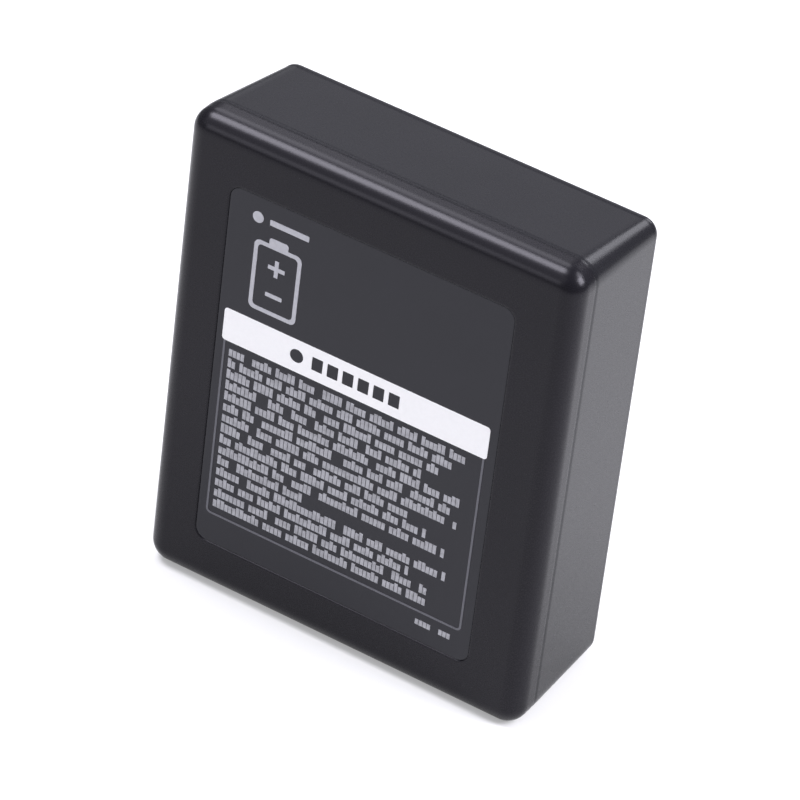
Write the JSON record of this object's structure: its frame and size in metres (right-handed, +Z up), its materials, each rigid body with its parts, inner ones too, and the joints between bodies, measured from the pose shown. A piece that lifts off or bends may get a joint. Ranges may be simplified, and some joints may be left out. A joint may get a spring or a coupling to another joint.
{
  "type": "printer battery",
  "caption": "Slim black rechargeable battery pack for a portable printer, with rolled front edges, a fine side seam and a printed label.",
  "frame": {"origin": "middle of the bottom end's outline, on the surface that the pack stands on", "axes": "+X to the right across the label face, +Y from the label face to the back, +Z up along the pack's length"},
  "size_m": [0.06, 0.023, 0.0739],
  "materials": {
    "case_black": "fine moulded grain, satin",
    "case_black_rear": "fine moulded grain, satin",
    "label_film": "dark satin film",
    "label_white": "white ink",
    "label_grey": "grey ink",
    "cell_can": "nickel plated steel",
    "cell_sleeve": "shrunk film",
    "fibre_ring": "pressed paper",
    "nickel_strip": "rolled nickel",
    "red_insulation": "smooth insulation",
    "yellow_insulation": "smooth insulation",
    "insulating_paper": "smooth pressed paper",
    "board_laminate": "solder mask",
    "gold_plate": "bright plated",
    "chip_resin": "moulded resin",
    "chip_ceramic": "fired ceramic",
    "sensor_resin": "dipped resin",
    "mounting_tape": "thin adhesive tape",
    "foam_pad": "fine open foam"
  },
  "bodies": {
    "root": {"front_cover": "case_black", "rear_case": "case_black_rear", "label_film": "label_film", "label_band": "label_white", "label_print": "label_grey", "cell_1": "cell_can", "cell_2": "cell_can", "cell_3": "cell_can", "sleeve_1": "cell_sleeve", "sleeve_2": "cell_sleeve", "sleeve_3": "cell_sleeve", "ring_1": "fibre_ring", "ring_2": "fibre_ring", "ring_3": "fibre_ring", "top_link_strip": "nickel_strip", "bottom_link_strip": "nickel_strip", "positive_tab": "nickel_strip", "negative_tab": "nickel_strip", "positive_lead": "red_insulation", "sense_lead": "yellow_insulation", "top_end_paper": "insulating_paper", "bottom_end_paper": "insulating_paper", "circuit_board": "board_laminate", "contact_pads": "gold_plate", "power_switches": "chip_resin", "gauge_chip": "chip_resin", "current_shunt": "chip_resin", "small_parts": "chip_ceramic", "thermistor": "sensor_resin", "cell_tape": "mounting_tape", "front_foam": "foam_pad"}
  },
  "joints": []
}
